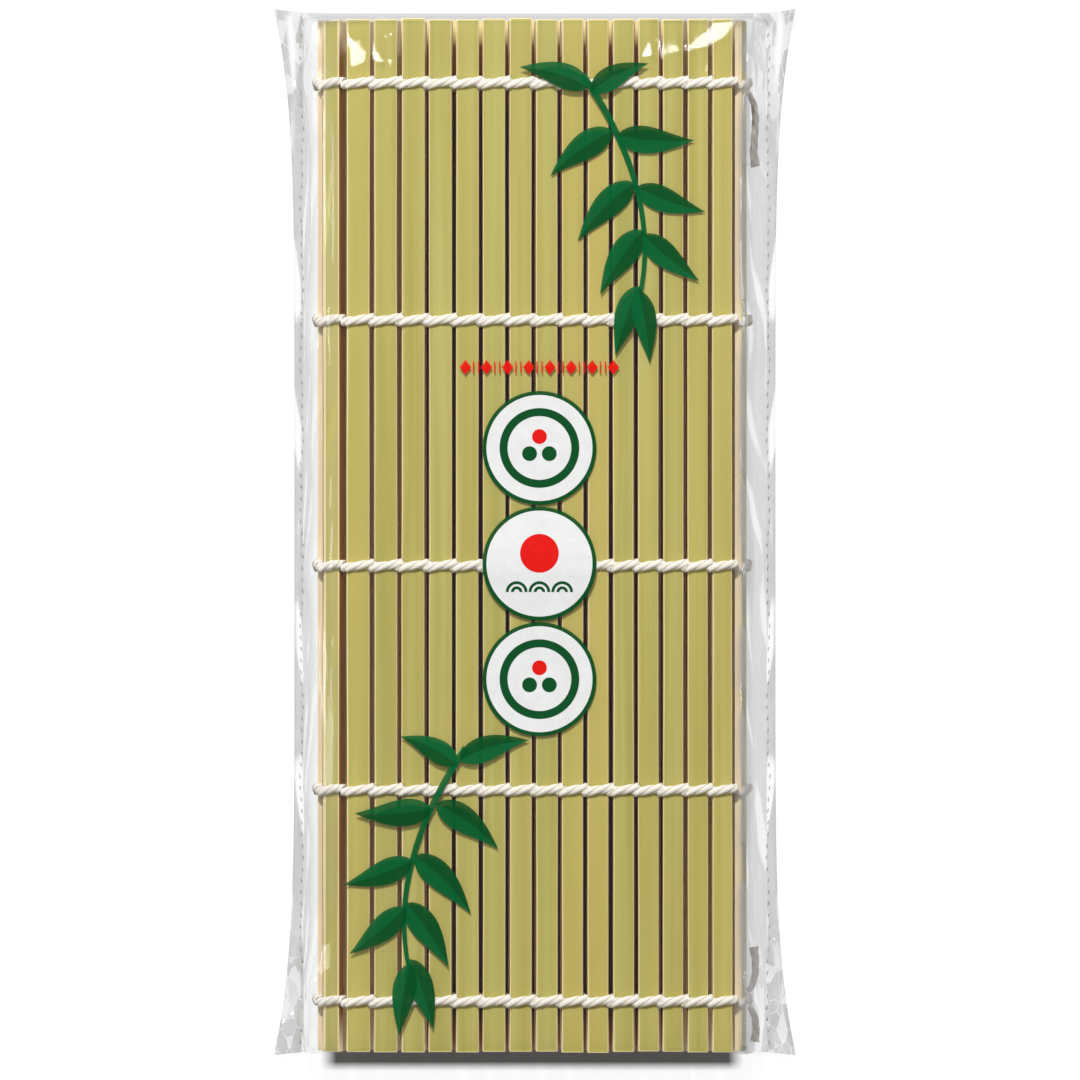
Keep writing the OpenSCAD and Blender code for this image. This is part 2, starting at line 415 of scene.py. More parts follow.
def cotton_material(mat):
    """White cotton with fine fibres, and a painted shade in the grooves between its plies, where crest is low."""
    look = Finish("cotton_cord")
    fibre = look.noise(look.uv_place(), (1200, 5200, 1), 3, 0.6)
    # Painted shade in the grooves between the plies, and darker fibres
    plies = look.mix(look.ramp(look.point_value("crest"), 0, 0.32), mat.cord_fibre_and_groove_shade, mat.cord)
    look.surface(look.mix(look.ramp(fibre, 0.3, 0.8, 0.22, 0), plies, mat.cord_fibre_and_groove_shade), 0.95, 0.15)
    look.bump(fibre, 0.35, 0.12 * MM)
    return look.material


def film_facets(look):
    """Cells of a stretched Voronoi pattern, as creased film has.

    Gives a random colour for each cell, and the distance to the line where it meets the next.
    """
    inputs = {"Vector": look.object_place(), "Scale": (430, 190, 430), "Rotation": (0, 0, 0.5)}
    place = look.node("Mapping", inputs).outputs["Vector"]
    cells = look.node("TexVoronoi", {"Vector": place, "Scale": 1})
    edges = look.node("TexVoronoi", {"Vector": place, "Scale": 1}, feature="DISTANCE_TO_EDGE")
    return cells.outputs["Color"], edges.outputs["Distance"]


def tilted_normal(look, colour, amount):
    """The surface's normal plus a share of a random colour less its middle: each cell faces its own way."""
    away = look.node("VectorMath", {0: colour, 1: (0.5, 0.5, 0.5)}, operation="SUBTRACT").outputs[0]
    tilt = look.node("VectorMath", {0: away, "Scale": amount}, operation="SCALE").outputs[0]
    normal = look.node("NewGeometry", {}).outputs["Normal"]
    both = look.node("VectorMath", {0: tilt, 1: normal}, operation="ADD").outputs[0]
    return look.node("VectorMath", {0: both}, operation="NORMALIZE").outputs[0]


def film_material():
    """Clear film: see-through, with a sharp reflection, and a thin grey veil where its value says.

    creased is 1 where the film is crumpled: there some facets and the creases between them lose the veil, a
    painted highlight through which the white floor shows as glare, and each facet of its gloss faces its own way.
    """
    look = Finish("bag_film")
    look.surface((0.42, 0.42, 0.425), 0.5, 0.2)
    veil, creased = look.point_value("veil"), look.point_value("creased")
    colour, edge = film_facets(look)
    red = look.node("SeparateColor", {0: colour}).outputs[0]
    # Painted highlights: facets and crease lines that lose the veil and show the white floor as glare
    pale = look.worked_out("MULTIPLY", creased, look.ramp(red, 0.26, 0.34, 0.6, 0))
    line = look.worked_out("MULTIPLY", creased, look.ramp(edge, 0, 0.035, 0.7, 0))
    kept = look.worked_out("SUBTRACT", 1, look.worked_out("MAXIMUM", pale, line))
    clear = look.node("BsdfTransparent", {"Color": (0.985, 0.985, 0.985)}).outputs[0]
    veiled = look.mix_shaders(look.worked_out("MULTIPLY", veil, kept), clear, look.shader.outputs[0])
    normal = tilted_normal(look, colour, look.ramp(creased, 0, 1, 0, 0.5))
    gloss = look.node("BsdfGlossy", {"Roughness": 0.05, "Normal": normal}).outputs[0]
    fresnel = look.node("LayerWeight", {"Blend": 0.12}).outputs["Fresnel"]
    look.show(look.mix_shaders(look.ramp(fresnel, 0, 1, 0.006, 0.7), veiled, gloss))
    return look.material


def weld_material():
    """The dents of the side welds: film pressed to a darker grey."""
    look = Finish("film_weld")
    uneven = look.ramp(look.noise(look.object_place(), (700, 300, 700)), 0.3, 0.7)
    look.surface(look.mix(uneven, (0.22, 0.22, 0.23), (0.42, 0.42, 0.43)), 0.4, 0.5, 0.75)
    return look.material


def ink_material(name, colour):
    """Printing ink under the film's gloss: nearly opaque and a little uneven."""
    look = Finish(name)
    uneven = look.ramp(look.noise(look.object_place(), (420, 420, 420)), 0.3, 0.7)
    look.surface(look.mix(uneven, [0.93 * c for c in colour], colour), 0.6, 0.05, 0.93)
    return look.material


def seen_directly(tree):
    """1 for rays from the camera, off a glossy surface or through a clear one, and 0 for all others."""
    rays = tree.node("LightPath", {}).outputs
    mirrored = tree.worked_out("MAXIMUM", rays["Is Glossy Ray"], rays["Is Transmission Ray"])
    return tree.worked_out("MAXIMUM", rays["Is Camera Ray"], mirrored)


def panel_sides():
    """The back panel's sides over the floor: least and greatest x, then least and greatest y."""
    end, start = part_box("slat_40"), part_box("slat_25")
    return min(end[0].x, start[0].x), max(end[1].x, start[1].x), end[0].y, start[1].y


def floor_ramp(look, axis, start, end, at_start=1, at_end=0):
    """A ramp of the floor's own x or y from one place to another."""
    place = look.node("SeparateXYZ", {0: look.object_place()})
    return look.ramp(place.outputs[axis], start, end, at_start, at_end)


def floor_patch(look, left, right, low, high):
    """1 on a patch of the floor and 0 off it.

    Each side is a pair of places, where the patch begins to fade and where it has gone. What the sides leave
    is multiplied across and along, so its corners are round.
    """
    across = look.worked_out("MINIMUM", floor_ramp(look, "X", *left), floor_ramp(look, "X", *right))
    along = look.worked_out("MINIMUM", floor_ramp(look, "Y", *low), floor_ramp(look, "Y", *high))
    return look.worked_out("MULTIPLY", across, along)


# Where the painted shadow under the mat fades: inside and outside its long sides, outside its lower end, and
# from one place to another inside its top end
SIDE_FADE = (2 * MM, 1.4 * MM)
LOW_FADE = 2.1 * MM
TOP_FADE = (6 * MM, 1 * MM)
# Where the painted amber light under the mat fades in, inside its lower end and inside its top end
AMBER_LOW, AMBER_TOP = (9 * MM, 2 * MM), (22 * MM, 6 * MM)
# Glow left in the painted shadow, and strength of the painted amber light
SHADOW_GLOW, AMBER_GLOW = 0.05, 0.08


def outside_mat(look, below):
    """0 under the back panel and for a short way below its lower end, rising to 1 outside that: the mask of a
    painted shadow, where the floor's glow is taken away.

    Light comes in at the top end, so it rises there while still under the panel.
    """
    left, right, low, high = panel_sides()
    low -= below
    inside, outside = SIDE_FADE
    patch = floor_patch(look, (left + inside, left - outside), (right - inside, right + outside),
                        (low, low - LOW_FADE), (high - TOP_FADE[0], high - TOP_FADE[1]))
    return look.worked_out("SUBTRACT", 1, patch)


def under_mat(look):
    """1 under the back panel and 0 half a millimetre outside it."""
    left, right, low, high = panel_sides()
    soft = 0.5 * MM
    return floor_patch(look, (left, left - soft), (right, right + soft),
                       (low, low - soft), (high, high + soft))


def floor_material(mat):
    """A pale floor that lights the part as any floor does. Seen directly it glows white and keeps the real shadow,
    with a painted shadow where the glow is taken away under the mat and just below it, and a painted dark shade
    under the mat.

    Under both ends of the mat it has a painted amber glow, for light that comes in between the slats.
    """
    look = Finish("studio_floor")
    look.surface((0.75, 0.75, 0.75), 1, 0)
    under = under_mat(look)
    # Painted shadow: the floor's glow is taken away under the mat and just below its lower end
    near = look.ramp(outside_mat(look, -1 * MM), 0, 1, 0, SHADOW_GLOW)
    far = look.ramp(outside_mat(look, mat.contact_shadow), 0, 1, 0, mat.floor_glow - SHADOW_GLOW)
    # Seen directly the floor glows white, with an amber tint of painted light where it glows under the mat
    white = look.node("Emission", {"Color": look.mix(under, (1, 1, 1), (1, 0.8, 0.3)),
                                   "Strength": look.worked_out("ADD", near, far)})
    low, high = panel_sides()[2:]
    # Painted light: an amber glow under both ends of the mat, for light that comes in between the slats
    low_end, top_end = (floor_ramp(look, "Y", start, end, 0, AMBER_GLOW) for start, end in (
        [low + inside for inside in AMBER_LOW], [high - inside for inside in AMBER_TOP]))
    strength = look.worked_out("MULTIPLY", look.worked_out("MAXIMUM", low_end, top_end), under)
    amber = look.node("Emission", {"Color": (1, 0.3, 0), "Strength": strength})
    # Painted shade: a dark brown diffuse colour under the mat, seen through the gaps between the slats
    painted_under_shade = look.mix(outside_mat(look, -2.5 * MM), (0.07, 0.014, 0.001), (0.13, 0.13, 0.13))
    lit = look.node("BsdfDiffuse", {"Color": painted_under_shade})
    for light in (white, amber):
        lit = look.node("AddShader", {0: lit.outputs[0], 1: light.outputs[0]})
    look.show(look.mix_shaders(seen_directly(look), look.shader.outputs[0], lit.outputs[0]))
    return look.material


# Slats

# Half of a slat's section, from the middle of the pale face round to the middle of the green one: share of the
# half width, inset from the side in bevels, share of the thickness, inset from the green face in bevels, then
# the values skin, cream and side
# side is 1 on the cut sides and on the chamfers' outer lips, which take a painted shade: a dark line on each lip
SECTION_SIDE = [
    (0, 0, 0, 0, 0, 0, 0), (1, 0.30, 0, 0, 0, 0, 0), (1, 0.10, 0.04, 0, 0, 0, 1), (1, 0.05, 0.4, 0, 0, 0, 1),
    (1, 0, 1, 1.0, 0, 0, 1), (1, 0.34, 1, 0.72, 0, 0, 1), (1, 0.38, 1, 0.66, 0, 1, 0),
    (1, 0.94, 1, 0.03, 0, 1, 0), (1, 1.08, 1, 0, 1, 0, 0), (0.5, 0, 1, -0.10, 1, 0, 0),
    (0, 0, 1, -0.14, 1, 0, 0),
]


def slat_section(width, bevel, planed):
    """The closed outline of a slat, as points (u, w): half of it on one side and its mirror image on the
    other.

    u = share of the half width less its inset times the bevel, w = share of the thickness less its inset
    times the bevel. The chamfer on the right is four fifths of the usual one. The left one is planed times as
    broad, and what lies outside it less so.
    """
    half = np.array(SECTION_SIDE)
    broad = np.where(half[:, 1] > 0.9, planed, 1 + 0.35 * (planed - 1))
    right, left = half[:, 1] * bevel * 0.8, (half[:, 1] * broad)[-2:0:-1] * bevel
    u = np.concatenate([half[:, 0] * width / 2 - right, left - half[-2:0:-1, 0] * width / 2])
    w = half[:, 2] * SLAT_T - half[:, 3] * bevel
    return u, np.concatenate([w, w[-2:0:-1]])


def section_values():
    """The values skin, cream and side round the section."""
    half = np.array(SECTION_SIDE)[:, 4:]
    return np.concatenate([half, half[-2:0:-1]]).T


# How far from each end of a slat its taper and its rounding begin, and how much they draw it in
END_TAPER, END_ROUND = 0.3 * MM, 0.08 * MM
TAPER_DRAW, ROUND_DRAW = 0.05 * MM, 0.16 * MM
# Lengths of the waves in a slat's chamfers, and of the wave that its whole line follows
CHAMFER_WAVES = (110 * MM, 43 * MM)
LEAN_WAVE = 250 * MM


def slat_shape(body, node, mat, rng):
    """A slat: its section carried along Y.

    The chamfer wavers as a sum of two sines of y and the whole slat leans as a third, and both ends draw in.
    """
    low, high = slat_span(body, node)
    half = SLAT_LEN / 2
    trims = rng.uniform(0, mat.end_stray, 2)
    first, last = -half + trims[0], half - trims[1]
    inner = np.linspace(first + END_TAPER, last - END_TAPER, 56)
    y = np.concatenate([[first, first + END_ROUND], inner, [last - END_ROUND, last]])
    draw = np.zeros(len(y))
    draw[[0, -1]] = ROUND_DRAW
    draw[[1, -2]] = TAPER_DRAW
    phase = rng.uniform(0, 2 * math.pi, 3)
    long_wave, short_wave, lean = (np.sin(2 * math.pi * y / wave + at)
                                   for wave, at in zip((*CHAMFER_WAVES, LEAN_WAVE), phase))
    wave = long_wave + 0.6 * short_wave
    bevel = mat.bevel * rng.uniform(0.85, 1.15) * (1 + 0.16 * wave)
    planed = mat.shoulder_planed if body == "left_shoulder" else 1
    sections = np.array([slat_section(a, b, planed) for a, b in zip(high - low - 2 * draw, bevel)])
    u = sections[:, 0] + (low + high) / 2 + (mat.edge_waver * lean)[:, None]
    w = sections[:, 1]
    w = w + np.where(w > SLAT_T / 2, -draw[:, None], draw[:, None])
    points = placed(body, u, (y + MAT_Y)[:, None], w)
    around = run_length(sections[5].T)
    uv = np.stack(np.broadcast_arrays(around + rng.uniform(0, 1), (y + rng.uniform(0, 9))[:, None]), axis=-1)
    rows = (len(y), len(around))
    skin, cream, side = (np.array(np.broadcast_to(value, rows)) for value in section_values())
    ends = [0, 1, -2, -1]
    skin[ends] = 0
    cream[ends] = 1
    # Painted light at both ends of a slat, where light comes in between the slats and lightens the painted shade
    tip = np.clip(1 - (half - np.abs(y)) / mat.painted_end_light_len, 0, 1)[:, None]
    # These slats' sides face the front in the light, so they take no painted shade
    if body in PALE_SIDED:
        side = 0 * side
    values = {"skin": skin, "cream": cream, "side": side, "tip": tip, "tone": np.array(rng.uniform() ** 2)}
    return Shape().grid(points, uv, values, wrap=True, capped=True)


def make_slats(mat):
    """All the slats, each with random draws of its own."""
    material = bamboo_material(mat)
    for body in STRETCHES:
        for node in slats_of(body):
            rng = np.random.default_rng(int(node[-2:]) + 40)
            obj = slat_shape(body, node, mat, rng).build(f"{node}_wood", material, closed=True)
            sharpen(obj, 35)
            finish(obj, body, "bamboo", node)


def sharpen(obj, degrees):
    """Keeps the edges that turn by more than the angle sharp in the shading."""
    chosen = {"active_object": obj, "selected_objects": [obj], "selected_editable_objects": [obj]}
    with bpy.context.temp_override(**chosen):
        bpy.ops.object.shade_smooth_by_angle(angle=math.radians(degrees))
    for modifier in list(obj.modifiers):
        with bpy.context.temp_override(object=obj, active_object=obj):
            bpy.ops.object.modifier_apply(modifier=modifier.name)


# Cords

# Steps along each stitch, and points round each strand
ALONG, AROUND = 20, 18


def rope_tube(shape, path, radius, lay, flat=1.0, up=(0.0, 0.0, 1.0)):
    """A three-ply rope along a path: a ring of radius r(angle) at each of its points.

    r = radius (0.78 + 0.22 c), where c = |cos(1.5 angle)|, and each ring is turned back by 2 pi s / lay, where
    s is the length along the path, so the grid's lines follow the three grooves. c squared is kept for the
    painted shade in the grooves. The ring is flattened along the path's normal.
    """
    tangent = directions(path)
    side = np.cross(np.array(up), tangent)
    size = np.linalg.norm(side, axis=1, keepdims=True)
    side = np.where(size > 1e-6, side / np.maximum(size, 1e-6), np.array([1.0, 0.0, 0.0]))
    normal = np.cross(tangent, side)
    s = run_length(path)
    angle = np.linspace(0, 2 * math.pi, AROUND, endpoint=False)
    crest = np.broadcast_to(np.abs(np.cos(1.5 * angle)), (len(s), AROUND))
    r = np.broadcast_to(radius, s.shape)[:, None] * (0.78 + 0.22 * crest)
    turned = angle[None, :] - 2 * math.pi * s[:, None] / lay
    ring = (r * np.cos(turned))[..., None] * side[:, None]
    ring = ring + (flat * r * np.sin(turned))[..., None] * normal[:, None]
    uv = np.stack(np.broadcast_arrays(s[:, None], angle[None, :] * CORD_R / 2), axis=-1)
    shape.grid(path[:, None] + ring, uv, {"crest": crest ** 2}, wrap=True, capped=True)


def strand_path(body, mat, row_y, strand):
    """One strand's points (u, y, w) over a stretch, and its radius at each.

    Over slat number k it lies on the green side when k + strand is even, rising from -a to +a, and on the
    pale side when odd, falling back. For q from 0 to 1 across the slat, u = q - c sin(2 pi q) of the pitch,
    which runs a little past both gaps, and w = w of the gap + (w of the face - w of the gap) times
    (1 - |2 q - 1|^p). The end of a stitch rides over the start of the next. At a fold the gap's w is 0, the
    fold's own line.
    """
    nodes = slats_of(body)
    edges = np.array(gap_middles(body))
    gap_w = np.full(len(edges), SLAT_T / 2)
    gap_w[[0, -1]] = 0.0
    if body in FREE_ENDS:
        gap_w[FREE_ENDS[body]] = SLAT_T / 2
    q = 0.5 - 0.5 * np.cos(math.pi * np.linspace(0, 1, ALONG, endpoint=False))
    paths, radii = [], []
    for k, node in enumerate(nodes):
        face_sign = 1 if (SLAT_COUNT - int(node[-2:]) + strand) % 2 == 0 else -1
        steps = np.append(q, 1.0) if k == len(nodes) - 1 else q
        u = edges[k] + (steps - mat.overrun * np.sin(2 * math.pi * steps)) * (edges[k + 1] - edges[k])
        climb = np.sin(math.pi * (steps - 0.5)) * face_sign
        height = 1 - np.abs(2 * steps - 1) ** mat.plunge
        base = gap_w[k] + (gap_w[k + 1] - gap_w[k]) * steps
        lift = mat.cord_lift + mat.stitch_tuck * climb
        face = SLAT_T + lift if face_sign > 0 else -lift
        paths.append(np.stack([u, row_y + mat.stitch_rise * climb, base + (face - base) * height], axis=-1))
        radii.append(CORD_R * (0.5 + 0.5 * height ** 0.5))
    path = np.concatenate(paths)
    path[:, 0] = np.clip(path[:, 0], edges[0], edges[-1])
    return path, np.concatenate(radii)


def add_cord_row(shape, body, mat, row):
    """Both strands of a row, worked out in the stretch's own space and then placed."""
    turn = math.radians(STRETCHES[body][1])
    up = (-math.sin(turn), 0.0, math.cos(turn))
    for strand in (0, 1):
        path, radius = strand_path(body, mat, ROWS[row], strand)
        world = placed(body, path[:, 0], path[:, 1], path[:, 2])
        rope_tube(shape, world, radius, mat.cord_lay, mat.cord_flat, up)


def make_cords(mat):
    """The rows on the front and the back, a piece each, then each short stretch's rows in one piece."""
    material = cotton_material(mat)
    for row in range(ROW_COUNT):
        for body, node in (("front_panel", f"front_cord_{row + 1}"), ("back_panel", f"back_cord_{row + 1}")):
            shape = Shape()
            add_cord_row(shape, body, mat, row)
            finish(shape.build(f"{node}_twined", material, closed=True), body, "cotton_cord", node)
    for body in ("left_edge", "left_shoulder", "right_edge", "inner_flap"):
        node = "flap_cords" if body == "inner_flap" else f"{body}_cords"
        shape = Shape()
        for row in range(ROW_COUNT):
            add_cord_row(shape, body, mat, row)
        finish(shape.build(f"{node}_twined", material, closed=True), body, "cotton_cord", node)
    make_knots(mat, material)


def knot_path(centre, size, turned):
    """A closed trefoil, scaled and turned about Z.

    x = sin t + 2 sin 2t, y = cos t - 2 cos 2t, z = -1.3 sin 3t
    """
    t = np.linspace(0, 2 * math.pi, 90)
    x = np.sin(t) + 2 * np.sin(2 * t)
    y = np.cos(t) - 2 * np.cos(2 * t)
    z = -1.3 * np.sin(3 * t)
    c, s = math.cos(turned), math.sin(turned)
    return centre + size * np.stack([c * x - s * y, s * x + c * y, z], axis=-1)


# The loose tails' routes from the middles of their knots, in millimetres, as the solids have them
UPPER_TAIL = [(0.5, -1.7, 0), (1.4, -3.5, -0.2), (2.2, -7, -0.5), (1.9, -13, -0.7), (2.3, -19, -0.8)]
LOWER_TAIL_UP = [(0.5, 1.7, -0.1), (1.7, 4, -0.3), (2.2, 8, -0.7), (1.8, 12, -0.8)]
LOWER_TAIL_DOWN = [(0.6, -1.7, 0), (1.9, -4, -0.1), (2.3, -7, -0.6), (2, -10, -0.8)]


def add_tail(shape, mat, start, route):
    """A loose tail: a rope that thins at its knot and frays at its end."""
    t = np.linspace(0, 1, 40)
    path = smooth_line(np.array(route) * MM, len(t)) + start
    rope_tube(shape, path, mat.tail_r * (1 + 0.35 * t ** 6 - 0.25 * (1 - t) ** 4), mat.cord_lay)


def make_knots(mat, material):
    """The knots at both ends of the mat, and the loose tails of the outer ones."""
    for node, body in (("outer_knots", "back_panel"), ("inner_knots", "inner_flap")):
        hinge, heading = STRETCHES[body]
        side = math.cos(math.radians(heading))
        end = gap_middles(body)[FREE_ENDS[body]]
        outwards = -1 if FREE_ENDS[body] == 0 else 1
        x = hinge[0] + (end + outwards * (mat.knot_r + 0.1 * MM)) * side
        z = hinge[1] + SLAT_T / 2 * side
        shape = Shape()
        for row, y in enumerate(ROWS):
            centre = np.array([x, y, z])
            rope_tube(shape, knot_path(centre, mat.knot_r * 0.25, row * 1.3), CORD_R * 0.5, mat.cord_lay)
        if node == "outer_knots":
            for row, route in ((0, UPPER_TAIL), (4, LOWER_TAIL_UP), (4, LOWER_TAIL_DOWN)):
                add_tail(shape, mat, np.array([x, ROWS[row], z]), route)
        finish(shape.build(f"{node}_tied", material, closed=True), body, "cotton_cord", node)


# Film

# Where the small light stands that the film's pleats reflect
GLINT_PLACE = (-0.10, 0.34, 1.10)


def corner_outside(joint, heading_a, heading_b, away):
    """The mitre point that keeps a distance outside two stretches: hinge + away (n1 + n2) / (1 + n1 . n2)."""
    a, b = math.radians(heading_a), math.radians(heading_b)
    n1 = np.array([-math.sin(a), math.cos(a)])
    n2 = np.array([-math.sin(b), math.cos(b)])
    return fold_line(joint) + away * (n1 + n2) / (1 + n1 @ n2)


def film_section(count):
    """The front film's section from foot to foot, as (x, z) at even steps, with its corners eased.

    The corners are those of the solid, but the right one is cut off flat. Easing is a running mean over five
    steps, run twice.
    """
    foot = FILM_T * 1.5
    right = corner_outside("right_edge_fold", 0, RIGHT_HEADING, FILM_REACH)
    down = math.radians(RIGHT_HEADING)
    cut = 1.7 * MM
    corners = np.array([
        [-SEAM_X, foot],
        corner_outside("left_shoulder_fold", EDGE_HEADING, SHOULDER_HEADING, FILM_REACH),
        corner_outside("front_fold", SHOULDER_HEADING, 0, FILM_REACH),
        right - cut * np.array([1, 0]),
        right + cut * np.array([math.cos(down), math.sin(down)]),
        corner_outside("flap_fold", RIGHT_HEADING, RIGHT_HEADING, FILM_REACH),
        [SEAM_X, foot],
    ])
    s = run_length(corners)
    fine = np.linspace(0, s[-1], count)
    line = np.stack([np.interp(fine, s, column) for column in corners.T], axis=-1)
    for _ in range(2):
        padded = np.pad(line, ((2, 2), (0, 0)), mode="edge")
        line[2:-2] = sum(padded[k:k + count] for k in range(5))[2:-2] / 5
    return line


def crumple(x, y, seed, waves, size):
    """Flat facets with sharp creases: a mean of triangle waves in several directions, from 0 to 1."""
    rng = np.random.default_rng(seed)
    total = np.zeros(np.broadcast(x, y).shape)
    for _ in range(waves):
        heading = rng.uniform(0, math.pi)
        length = size * rng.uniform(0.6, 1.7)
        along = (x * math.cos(heading) + y * math.sin(heading)) / length + rng.uniform()
        bent = along + 0.35 * np.abs((y * math.cos(heading) - x * math.sin(heading)) / (3 * length) % 2 - 1)
        total += np.abs(bent % 2 - 1)
    return total / waves


def corner_nearness(x, y, reach):
    """1 at the bag's four corners, falling to 0 at the given distance."""
    dx = (FILM_HIGH.x - np.abs(x)) / reach
    dy = (BAG_END - np.abs(y)) / reach
    return np.clip(1 - np.hypot(dx, dy), 0, 1)


# How far from a cord row the film has sunk by nearly two thirds
SAG_REACH = 9 * MM
# How far crumpling reaches from the bag's corners: over the pack, in the fins and in the gloss
PACK_CRUMPLE, FIN_CRUMPLE, GLOSS_CRUMPLE = 42 * MM, 36 * MM, 34 * MM
# How far from the bag's middle line its long folds begin, and over what width they grow
FOLDS_START, FOLDS_GROW = 40 * MM, 12 * MM


def row_sag(y):
    """0 where the film lies on a cord row, rising smoothly to 1 between the rows and past the end rows."""
    away = np.abs(np.asarray(y)[..., None] - ROWS).min(axis=-1)
    return 1 - np.exp(-(away / SAG_REACH) ** 2)


def film_lift(x, y, mat):
    """How far the film stands off its even surface: it sags between the cord rows, over which facets rise."""
    near = corner_nearness(x, y, PACK_CRUMPLE)
    side = np.clip((np.abs(x) - FOLDS_START) / FOLDS_GROW, 0, 1)
    calm = crumple(x, y, seed=5, waves=3, size=36 * MM)
    long_folds = crumple(x, y / 5, seed=17, waves=3, size=6 * MM)
    facets = crumple(x, y, seed=11, waves=4, size=6 * MM)
    sag = mat.film_sag * FILM_OVER * row_sag(y)
    return mat.crinkle * (0.3 * calm + 0.5 * side * long_folds + 5 * near ** 1.3 * facets) - sag


# How far the middle of the bag's top end and of its mouth lie inside their corners, and over what length the
# film rises from each
TOP_BOW, MOUTH_BOW = 1.1 * MM, 0.9 * MM
TOP_RISE, MOUTH_RISE = 1.6 * MM, 2.2 * MM


def end_height(y):
    """How much of its height the film keeps at y: it closes down past the mat's top end and draws in at the
    mouth."""
    top = np.clip((BAG_END - TOP_BOW - y) / TOP_RISE, 0.02, 1)
    mouth = np.clip((y + BAG_END) / MOUTH_RISE, 0, 1) * 0.22 + 0.78
    return np.sqrt(top) * mouth


def fin_edge(y):
    """Half width at the fins' outer edge, as the solid has it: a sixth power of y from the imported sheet."""
    return FIN_MIDDLE + (SHEET_HIGH.x - FIN_MIDDLE) * np.abs(y / BAG_END) ** 6


def fin_height(x, y, t, seed, mat):
    """Height of a fin: crumpled facets and long creases, held down at its weld, taller at the corners."""
    near = corner_nearness(x, y, FIN_CRUMPLE)
    free = np.sin(math.pi * np.clip(t * 0.8, 0, 1)) ** 0.7
    facets = crumple(x, y, seed, waves=4, size=6 * MM)
    creases = crumple(x, y / 6, seed + 1, waves=3, size=2.5 * MM)
    return FILM_T * 1.5 + free * (mat.crinkle * (1.4 * creases + 9 * near * facets))


def painted_glare_patches(x, y, seed):
    """1 over most of a crumpled sheet and near 0 in long, sharp-edged patches: painted highlights, where the veil
    drops away so the white floor shows through as glare.
    """
    return np.clip((crumple(x, y / 4, seed, waves=3, size=3 * MM) - 0.28) * 9, 0.05, 1)


def bowed(x, y):
    """The bag's ends bow inwards between its corners: y less a share of y^11, less so towards the sides."""
    depth = np.where(y > 0, TOP_BOW, MOUTH_BOW)
    return y - np.sign(y) * depth * np.abs(y / BAG_END) ** 11 * (1 - np.abs(x / FILM_HIGH.x) ** 12)


# A painted highlight: a milky streak of glare on the film beside the print, its place across the bag and its width
GLARE_STREAK_X, GLARE_STREAK_WIDTH = 48.6 * MM, 1.2 * MM
# Points of the front film's section, of each fin and along the bag
SECTION_POINTS, FIN_POINTS, LENGTH_POINTS = 190, 12, 340


def arch_veil(x, y, along_wall, steep, keep, mat):
    """How milky the film over the pack is: its steep sides, a painted highlight streak, and the wall at its top
    end.
    """
    milky = np.where(x > 0, steep ** 0.6, steep ** 1.2)
    sides = mat.wall_veil * milky * painted_glare_patches(along_wall, y, 43)
    # Painted highlight: a milky streak of glare down the film's right side
    fold = 0.4 * np.exp(-((x - GLARE_STREAK_X) / GLARE_STREAK_WIDTH) ** 2)
    past_end = np.clip((y - MAT_Y - SLAT_LEN / 2) / (0.4 * MM), 0, 1)
    end_wall = past_end * (0.6 + 0.15 * np.clip((keep - 0.25) / 0.4, 0, 1))
    return np.maximum(mat.veil + sides + fold, end_wall)


def make_front_film(mat, material):
    """The front film: its section carried along Y, standing out from it by the facets, with both fins."""
    arch = film_section(SECTION_POINTS)
    y = np.linspace(-BAG_END, BAG_END, LENGTH_POINTS)[:, None]
    t = np.linspace(1, 0, FIN_POINTS)[None, :-1]
    fin_x = SEAM_X + (fin_edge(y) - SEAM_X) * t
    fin_left = fin_height(-fin_x, y, t, 23, mat)
    fin_right = fin_height(fin_x, y, t, 29, mat)
    direction = directions(arch)
    out = np.stack([-direction[:, 1], direction[:, 0]], axis=-1)
    x0 = np.broadcast_to(arch[:, 0], (len(y), len(arch)))
    steep = 1 - np.clip(out[:, 1], 0, 1)
    wall = steep * crumple(arch[:, 1] * 2 + x0, y / 2.5, seed=31, waves=4, size=7 * MM)
    lift = film_lift(x0, y, mat) + mat.crinkle * 1.6 * wall
    held = np.clip(np.minimum(np.arange(len(arch)), np.arange(len(arch))[::-1]) / 6, 0, 1)
    lift = lift * held
    keep = end_height(y)
    foot = arch[0, 1]
    arch_x = arch[:, 0] + lift * out[:, 0]
    arch_z = foot + (arch[:, 1] - foot + lift * np.maximum(out[:, 1], 0)) * keep
    x = np.concatenate([-fin_x, arch_x, fin_x[:, ::-1]], axis=1)
    z = np.concatenate([fin_left, arch_z, fin_right[:, ::-1]], axis=1)
    points = np.stack(np.broadcast_arrays(x, bowed(x, y), z), axis=-1)
    # The fins' veil, with painted highlights where it drops away
    veil_fin = mat.fin_veil * painted_glare_patches(fin_x, y, 37) + 0.22 * t ** 8
    veil_arch = arch_veil(x0, y, arch_x + arch_z, steep, keep, mat)
    veil = np.concatenate([veil_fin, veil_arch, veil_fin[:, ::-1]], axis=1)
    uv = np.stack(np.broadcast_arrays(np.linspace(0, 1, x.shape[1])[None, :] * 0.15, y), axis=-1)
    beside = np.abs(x) > SEAM_X - 3 * MM
    # creased tilts the gloss facets and sets where the veil's painted highlights lie
    creased = np.clip(2.2 * corner_nearness(x, y, GLOSS_CRUMPLE), 0.15, 1) * beside
    shape = Shape().grid(points, uv, {"veil": veil, "creased": creased})
    obj = shape.build("bag_front_film_clear", material, smooth=False)
    finish(obj, "bag", "bag_film", "bag_front_film")
    flatten_with_folds(obj)


